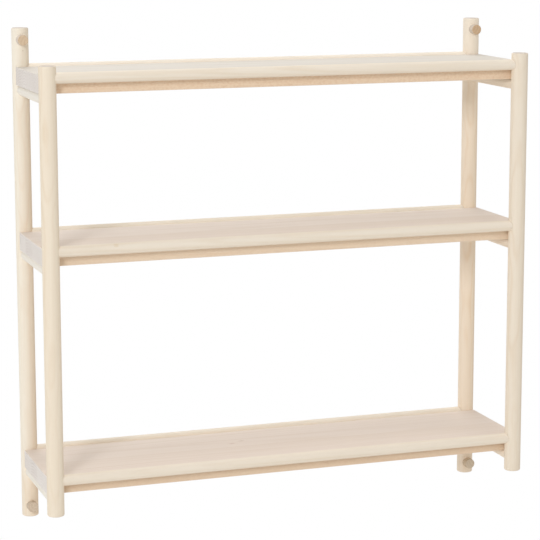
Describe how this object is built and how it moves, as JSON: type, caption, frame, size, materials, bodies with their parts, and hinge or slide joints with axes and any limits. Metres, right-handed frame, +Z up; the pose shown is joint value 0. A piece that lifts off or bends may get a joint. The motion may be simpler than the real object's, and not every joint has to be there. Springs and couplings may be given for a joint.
{
  "type": "wall shelf",
  "caption": "Wall-hung shelf of round wooden posts, rails and rungs with thick solid boards, fixed through the rear posts under pull-out pegs.",
  "frame": {"origin": "on the wall plane, at the centre of the four wall holes in the rear posts", "axes": "+X to the right seen from the front, -Y to the front, +Y into the wall, +Z up"},
  "size_m": [0.755, 0.203, 0.746],
  "materials": {
    "post_wood": "pale wood, fine sanded, matt clear oil",
    "rail_wood": "pale wood, fine sanded, matt clear oil",
    "rung_wood": "pale wood, fine sanded, matt clear oil",
    "board_wood": "pale wood, fine sanded, matt clear oil",
    "peg_wood": "pale wood, fine sanded, matt clear oil",
    "screw_steel": "bare steel"
  },
  "bodies": {
    "shelf_frame": {"left_rear_post": "post_wood", "left_front_post": "post_wood", "right_rear_post": "post_wood", "right_front_post": "post_wood", "bottom_front_rail": "rail_wood", "bottom_rear_rail": "rail_wood", "middle_front_rail": "rail_wood", "middle_rear_rail": "rail_wood", "top_front_rail": "rail_wood", "top_rear_rail": "rail_wood", "bottom_left_rung": "rung_wood", "bottom_right_rung": "rung_wood", "middle_left_rung": "rung_wood", "middle_right_rung": "rung_wood", "top_left_rung": "rung_wood", "top_right_rung": "rung_wood", "bottom_shelf_board": "board_wood", "middle_shelf_board": "board_wood", "top_shelf_board": "board_wood", "bottom_shelf_screws": "screw_steel", "middle_shelf_screws": "screw_steel", "top_shelf_screws": "screw_steel"},
    "bottom_left_peg": {"bottom_left_peg": "peg_wood"},
    "bottom_right_peg": {"bottom_right_peg": "peg_wood"},
    "top_left_peg": {"top_left_peg": "peg_wood"},
    "top_right_peg": {"top_right_peg": "peg_wood"}
  },
  "joints": [
    {"name": "bottom_left_peg_pull", "type": "slide", "parent": "shelf_frame", "child": "bottom_left_peg", "axis": [0, -1, 0], "range_m": [0, 0.009]},
    {"name": "bottom_right_peg_pull", "type": "slide", "parent": "shelf_frame", "child": "bottom_right_peg", "axis": [0, -1, 0], "range_m": [0, 0.009]},
    {"name": "top_left_peg_pull", "type": "slide", "parent": "shelf_frame", "child": "top_left_peg", "axis": [0, -1, 0], "range_m": [0, 0.009]},
    {"name": "top_right_peg_pull", "type": "slide", "parent": "shelf_frame", "child": "top_right_peg", "axis": [0, -1, 0], "range_m": [0, 0.009]}
  ]
}
